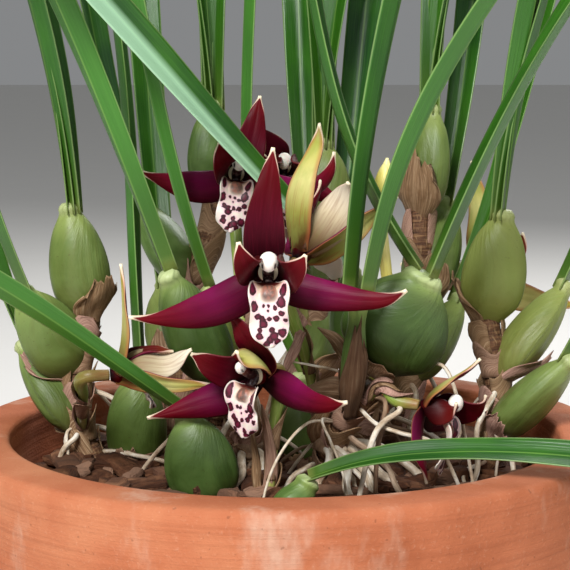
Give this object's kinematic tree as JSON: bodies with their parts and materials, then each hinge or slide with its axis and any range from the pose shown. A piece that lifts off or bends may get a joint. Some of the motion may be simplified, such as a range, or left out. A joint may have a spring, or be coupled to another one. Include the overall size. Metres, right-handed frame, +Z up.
{
  "type": "potted coconut orchid",
  "caption": "Potted coconut orchid with flattened pseudobulbs, narrow folded leaves and dark red flowers with spotted white lips, rooted in bark in a plain clay pot.",
  "frame": {"origin": "centre of the pot's flat underside", "axes": "+Z up along the pot's axis, the plant's front faces -Y"},
  "size_m": [0.3032, 0.2371, 0.3804],
  "materials": {
    "clay": "matte",
    "bark": "matte",
    "rhizome": "satin",
    "root": "matte",
    "bulb": "satin",
    "leaf": "satin",
    "stalk": "satin",
    "petal": "satin",
    "lip": "satin",
    "bud": "satin"
  },
  "bodies": {
    "root": {"pot": "clay", "bark_mix": "bark", "rhizome_left": "rhizome", "rhizome_right": "rhizome", "rhizome_middle": "rhizome", "rhizome_inner": "rhizome", "roots_left": "root", "roots_right": "root", "bulb_left": "bulb", "leaf_left": "leaf", "bulb_right": "bulb", "leaf_right_1": "leaf", "leaf_right_2": "leaf", "bulb_low_left": "bulb", "leaf_low_left": "leaf", "bulb_far_left": "bulb", "leaf_far_left": "leaf", "bulb_low_middle": "bulb", "leaf_low_middle": "leaf", "bulb_young": "bulb", "leaf_young_1": "leaf", "leaf_young_2": "leaf", "bulb_slim": "bulb", "leaf_slim": "leaf", "bulb_inner": "bulb", "leaf_inner": "leaf", "bulb_front": "bulb", "leaf_front": "leaf", "stem_side_left": "leaf", "stem_back_left": "leaf", "stem_back": "leaf", "stem_back_right": "leaf", "stem_side_right": "leaf", "flower_a_stalk": "stalk", "flower_a_perianth": "petal", "flower_a_lip_column": "lip", "flower_b_stalk": "stalk", "flower_b_perianth": "petal", "flower_b_lip_column": "lip", "flower_c_stalk": "stalk", "flower_c_perianth": "petal", "flower_c_lip_column": "lip", "flower_d_stalk": "stalk", "flower_d_perianth": "petal", "flower_d_lip_column": "lip", "flower_e_stalk": "stalk", "flower_e_perianth": "petal", "flower_e_lip_column": "lip", "flower_f_stalk": "stalk", "flower_f_perianth": "petal", "flower_f_lip_column": "lip", "flower_g_stalk": "stalk", "flower_g_perianth": "petal", "flower_g_lip_column": "lip", "flower_h_stalk": "stalk", "flower_h_perianth": "petal", "flower_h_lip_column": "lip", "bud": "bud"}
  },
  "joints": []
}
